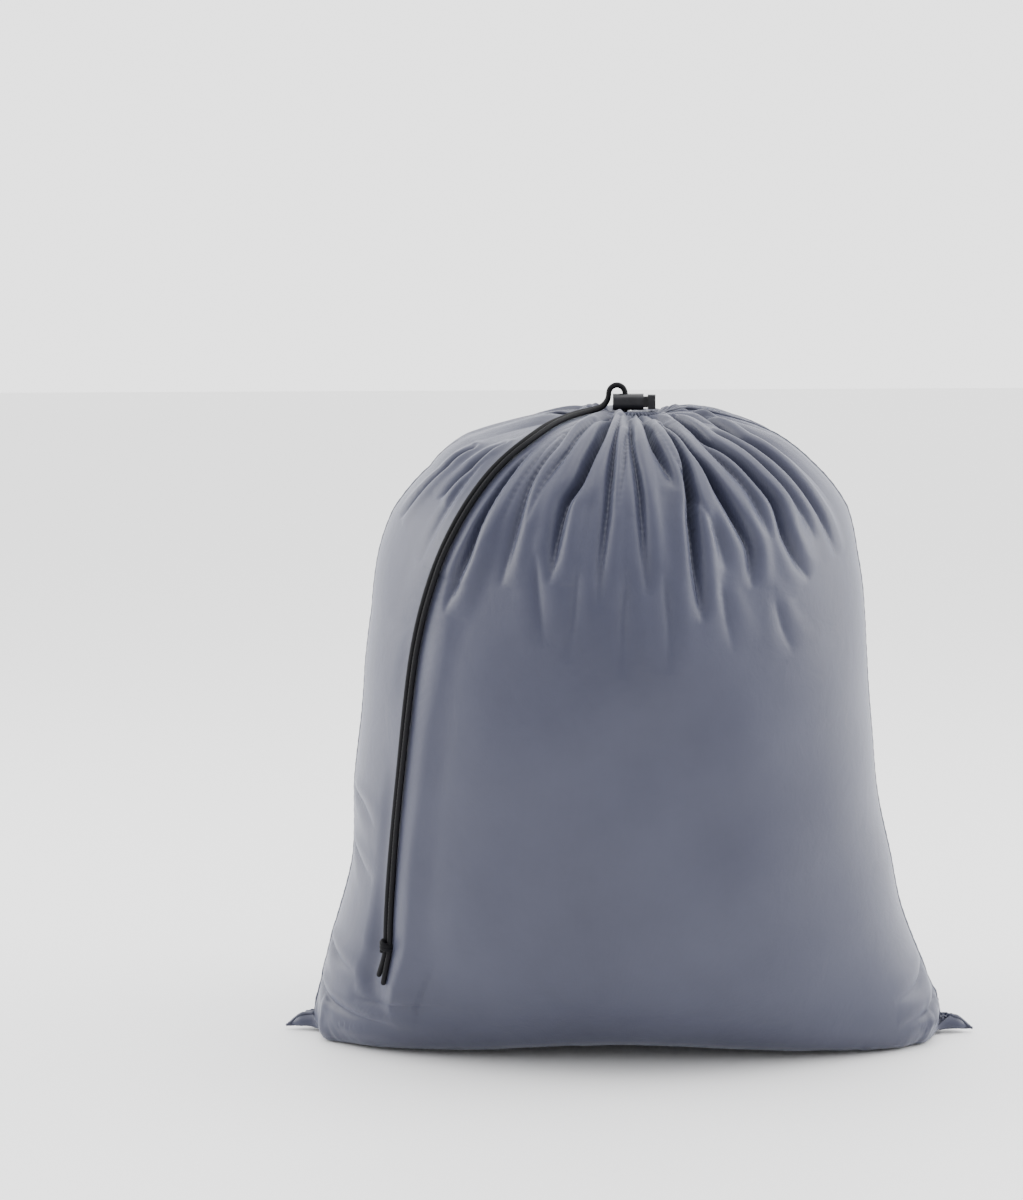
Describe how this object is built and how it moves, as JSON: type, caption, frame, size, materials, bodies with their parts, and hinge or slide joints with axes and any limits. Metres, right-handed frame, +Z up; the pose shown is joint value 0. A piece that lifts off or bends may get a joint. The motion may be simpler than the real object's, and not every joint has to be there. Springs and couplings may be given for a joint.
{
  "type": "laundry bag",
  "caption": "Drawstring laundry bag of thin woven cloth, stuffed full and gathered shut, with a doubled drawcord and a sprung cord lock.",
  "frame": {"origin": "on the floor under the middle of the bag's base", "axes": "+X along the bottom seam, from the left ear to the right ear; the front faces -Y; +Z up to the gathered mouth"},
  "size_m": [0.516, 0.3322, 0.4871],
  "materials": {
    "bag_cloth": "satin",
    "sewing_thread": "matte",
    "drawcord": "matte",
    "lock_plastic": "satin",
    "spring_steel": "satin"
  },
  "bodies": {
    "bag": {"front_panel": "bag_cloth", "back_panel": "bag_cloth", "left_side_seam": "bag_cloth", "right_side_seam": "bag_cloth", "bottom_seam": "bag_cloth", "hem_channel_front": "bag_cloth", "hem_channel_back": "bag_cloth", "left_seam_thread": "sewing_thread", "right_seam_thread": "sewing_thread", "bottom_seam_thread": "sewing_thread", "hem_thread": "sewing_thread", "hem_bartacks": "sewing_thread", "cord_exit_buttonhole": "sewing_thread", "drawcord_in_hem": "drawcord", "drawcord_strand_front": "drawcord", "drawcord_strand_rear": "drawcord", "cord_tail_front": "drawcord", "cord_tail_rear": "drawcord", "cord_knot": "drawcord", "cord_lock_body": "lock_plastic", "cord_lock_spring": "spring_steel"},
    "plunger": {"cord_lock_plunger": "lock_plastic"}
  },
  "joints": [
    {"name": "plunger_press", "type": "slide", "parent": "bag", "child": "plunger", "axis": [-1, 0, 0], "range_m": [0, 0.0025], "stiffness_N_per_m": 1000, "deforming": ["cord_lock_spring"]}
  ]
}
